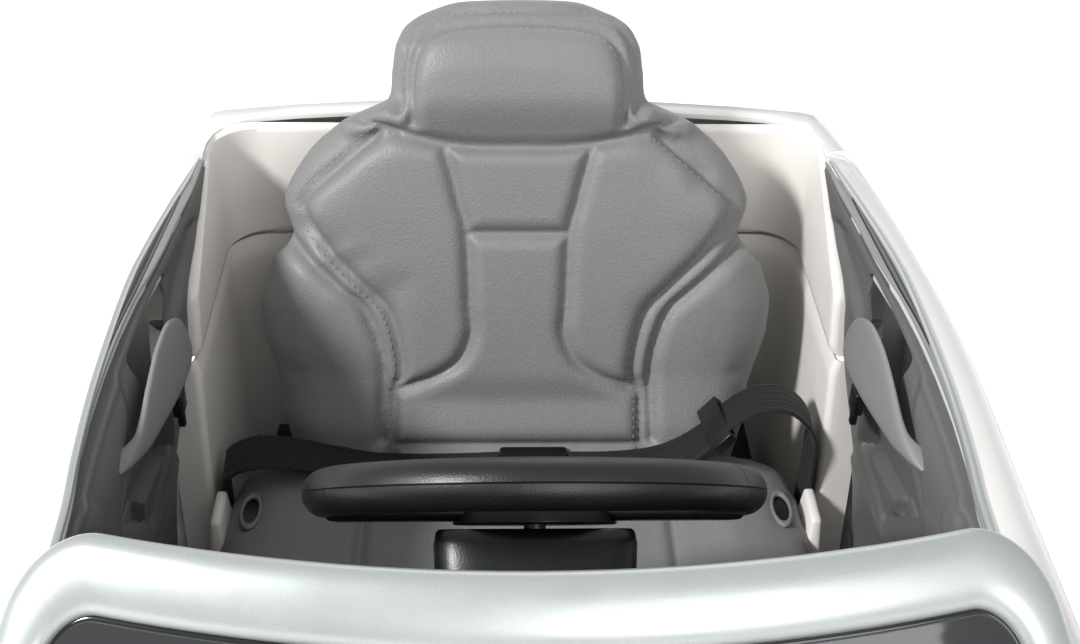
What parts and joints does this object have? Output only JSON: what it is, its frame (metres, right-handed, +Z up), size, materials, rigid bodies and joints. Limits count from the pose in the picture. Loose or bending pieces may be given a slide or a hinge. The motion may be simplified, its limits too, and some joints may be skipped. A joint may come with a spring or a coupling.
{
  "type": "kids ride-on car",
  "caption": "Battery powered ride-on car for a small child, with opening doors, padded seat with headrest, lap belt, steering linkage and tinted windscreen.",
  "frame": {"origin": "on the ground, under the middle of the car's bounding box", "axes": "front faces -Y, +X is the car's left side, +Z up"},
  "size_m": [0.704, 1.154, 0.5634],
  "materials": {
    "white_plastic": "smooth moulded plastic, satin gloss",
    "black_plastic": "fine grained moulded plastic",
    "grey_plastic": "fine grained moulded plastic",
    "silver_paint": "silver paint on plastic",
    "tinted_glass": "dark tinted clear plastic, glossy",
    "seat_leather": "grey leatherette with stitched seams",
    "webbing": "woven belt webbing",
    "steel": "bright steel",
    "tyre_rubber": "matt, with tread",
    "lamp_lens": "clear lens",
    "red_lens": "red lens",
    "battery_case": "plain moulded case"
  },
  "bodies": {
    "car": {"battery": "battery_case", "belt_buckle": "black_plastic", "belt_slider": "black_plastic", "belt_strap_left": "webbing", "belt_strap_right": "webbing", "body_front": "white_plastic", "body_rear": "white_plastic", "chassis_tub": "black_plastic", "column_cover": "black_plastic", "dashboard": "black_plastic", "front_axle_beam": "steel", "front_bumper": "grey_plastic", "gearbox_left": "black_plastic", "gearbox_right": "black_plastic", "grille": "black_plastic", "headlamp_left": "lamp_lens", "headlamp_right": "lamp_lens", "hinge_pin_left": "steel", "hinge_pin_right": "steel", "rear_axle": "steel", "rear_bumper": "grey_plastic", "seat_back": "seat_leather", "seat_base": "seat_leather", "seat_liner_left": "white_plastic", "seat_liner_right": "white_plastic", "sill_left": "white_plastic", "sill_right": "white_plastic", "tail_lamp_left": "red_lens", "tail_lamp_right": "red_lens", "windscreen_frame": "silver_paint", "windscreen_glass": "tinted_glass"},
    "door_left": {"door_shell_left": "white_plastic", "door_panel_left": "grey_plastic", "door_trim_left": "silver_paint", "pull_handle_left": "grey_plastic", "mirror_left": "white_plastic"},
    "door_right": {"door_shell_right": "white_plastic", "door_panel_right": "grey_plastic", "door_trim_right": "silver_paint", "pull_handle_right": "grey_plastic", "mirror_right": "white_plastic"},
    "release_left": {"release_lever_left": "black_plastic"},
    "release_right": {"release_lever_right": "black_plastic"},
    "steering": {"steering_wheel": "black_plastic", "steering_column": "steel"},
    "horn": {"horn_button": "silver_paint"},
    "tie": {"tie_rod": "steel"},
    "knuckle_left": {"steering_knuckle_left": "steel"},
    "knuckle_right": {"steering_knuckle_right": "steel"},
    "wheel_front_left": {"tyre_front_left": "tyre_rubber", "rim_front_left": "silver_paint"},
    "wheel_front_right": {"tyre_front_right": "tyre_rubber", "rim_front_right": "silver_paint"},
    "wheel_rear_left": {"tyre_rear_left": "tyre_rubber", "rim_rear_left": "silver_paint"},
    "wheel_rear_right": {"tyre_rear_right": "tyre_rubber", "rim_rear_right": "silver_paint"},
    "pedal": {"accelerator_pedal": "black_plastic"},
    "lever": {"drive_lever": "black_plastic"}
  },
  "joints": [
    {"name": "door_left_hinge", "type": "hinge", "parent": "car", "child": "door_left", "pos_m": [0.286, -0.194, 0.25], "axis": [0, 0, -1], "range_deg": [0, 55]},
    {"name": "door_right_hinge", "type": "hinge", "parent": "car", "child": "door_right", "pos_m": [-0.286, -0.194, 0.25], "axis": [0, 0, 1], "range_deg": [0, 55]},
    {"name": "release_left_turn", "type": "hinge", "parent": "door_left", "child": "release_left", "pos_m": [0.236, 0.158, 0.366], "axis": [1, 0, 0], "range_deg": [0, 20], "stiffness_Nm_per_rad": 0.1},
    {"name": "release_right_turn", "type": "hinge", "parent": "door_right", "child": "release_right", "pos_m": [-0.236, 0.158, 0.366], "axis": [1, 0, 0], "range_deg": [0, 20], "stiffness_Nm_per_rad": 0.1},
    {"name": "steering_turn", "type": "hinge", "parent": "car", "child": "steering", "pos_m": [0.003, -0.035, 0.458], "axis": [0, 0.7071, 0.7071], "range_deg": [-35, 35]},
    {"name": "horn_press", "type": "slide", "parent": "steering", "child": "horn", "axis": [0, -0.7071, -0.7071], "range_m": [0, 0.003], "stiffness_N_per_m": 400},
    {"name": "tie_slide", "type": "slide", "parent": "car", "child": "tie", "axis": [1, 0, 0], "range_m": [-0.0196, 0.0196]},
    {"name": "knuckle_left_turn", "type": "hinge", "parent": "car", "child": "knuckle_left", "pos_m": [0.222, -0.37, 0.105], "axis": [0, 0, 1], "range_deg": [-20.4, 20.4]},
    {"name": "knuckle_right_turn", "type": "hinge", "parent": "car", "child": "knuckle_right", "pos_m": [-0.222, -0.37, 0.105], "axis": [0, 0, 1], "range_deg": [-20.4, 20.4]},
    {"name": "wheel_front_left_spin", "type": "hinge", "parent": "knuckle_left", "child": "wheel_front_left", "pos_m": [0.275, -0.37, 0.105], "axis": [1, 0, 0], "continuous": true},
    {"name": "wheel_front_right_spin", "type": "hinge", "parent": "knuckle_right", "child": "wheel_front_right", "pos_m": [-0.275, -0.37, 0.105], "axis": [1, 0, 0], "continuous": true},
    {"name": "wheel_rear_left_spin", "type": "hinge", "parent": "car", "child": "wheel_rear_left", "pos_m": [0.275, 0.345, 0.105], "axis": [1, 0, 0], "continuous": true},
    {"name": "wheel_rear_right_spin", "type": "hinge", "parent": "car", "child": "wheel_rear_right", "pos_m": [-0.275, 0.345, 0.105], "axis": [1, 0, 0], "continuous": true},
    {"name": "pedal_press", "type": "hinge", "parent": "car", "child": "pedal", "pos_m": [-0.1, -0.165, 0.087], "axis": [1, 0, 0], "range_deg": [0, 12], "stiffness_Nm_per_rad": 0.3},
    {"name": "drive_select", "type": "hinge", "parent": "car", "child": "lever", "pos_m": [-0.12, -0.172, 0.397], "axis": [1, 0, 0], "range_deg": [-12, 12]}
  ],
  "couplings": [
    {"joint": "tie_slide", "follows": "steering_turn", "m_per_rad": -0.032},
    {"joint": "knuckle_left_turn", "follows": "steering_turn", "ratio": 0.5818},
    {"joint": "knuckle_right_turn", "follows": "steering_turn", "ratio": 0.5818}
  ]
}
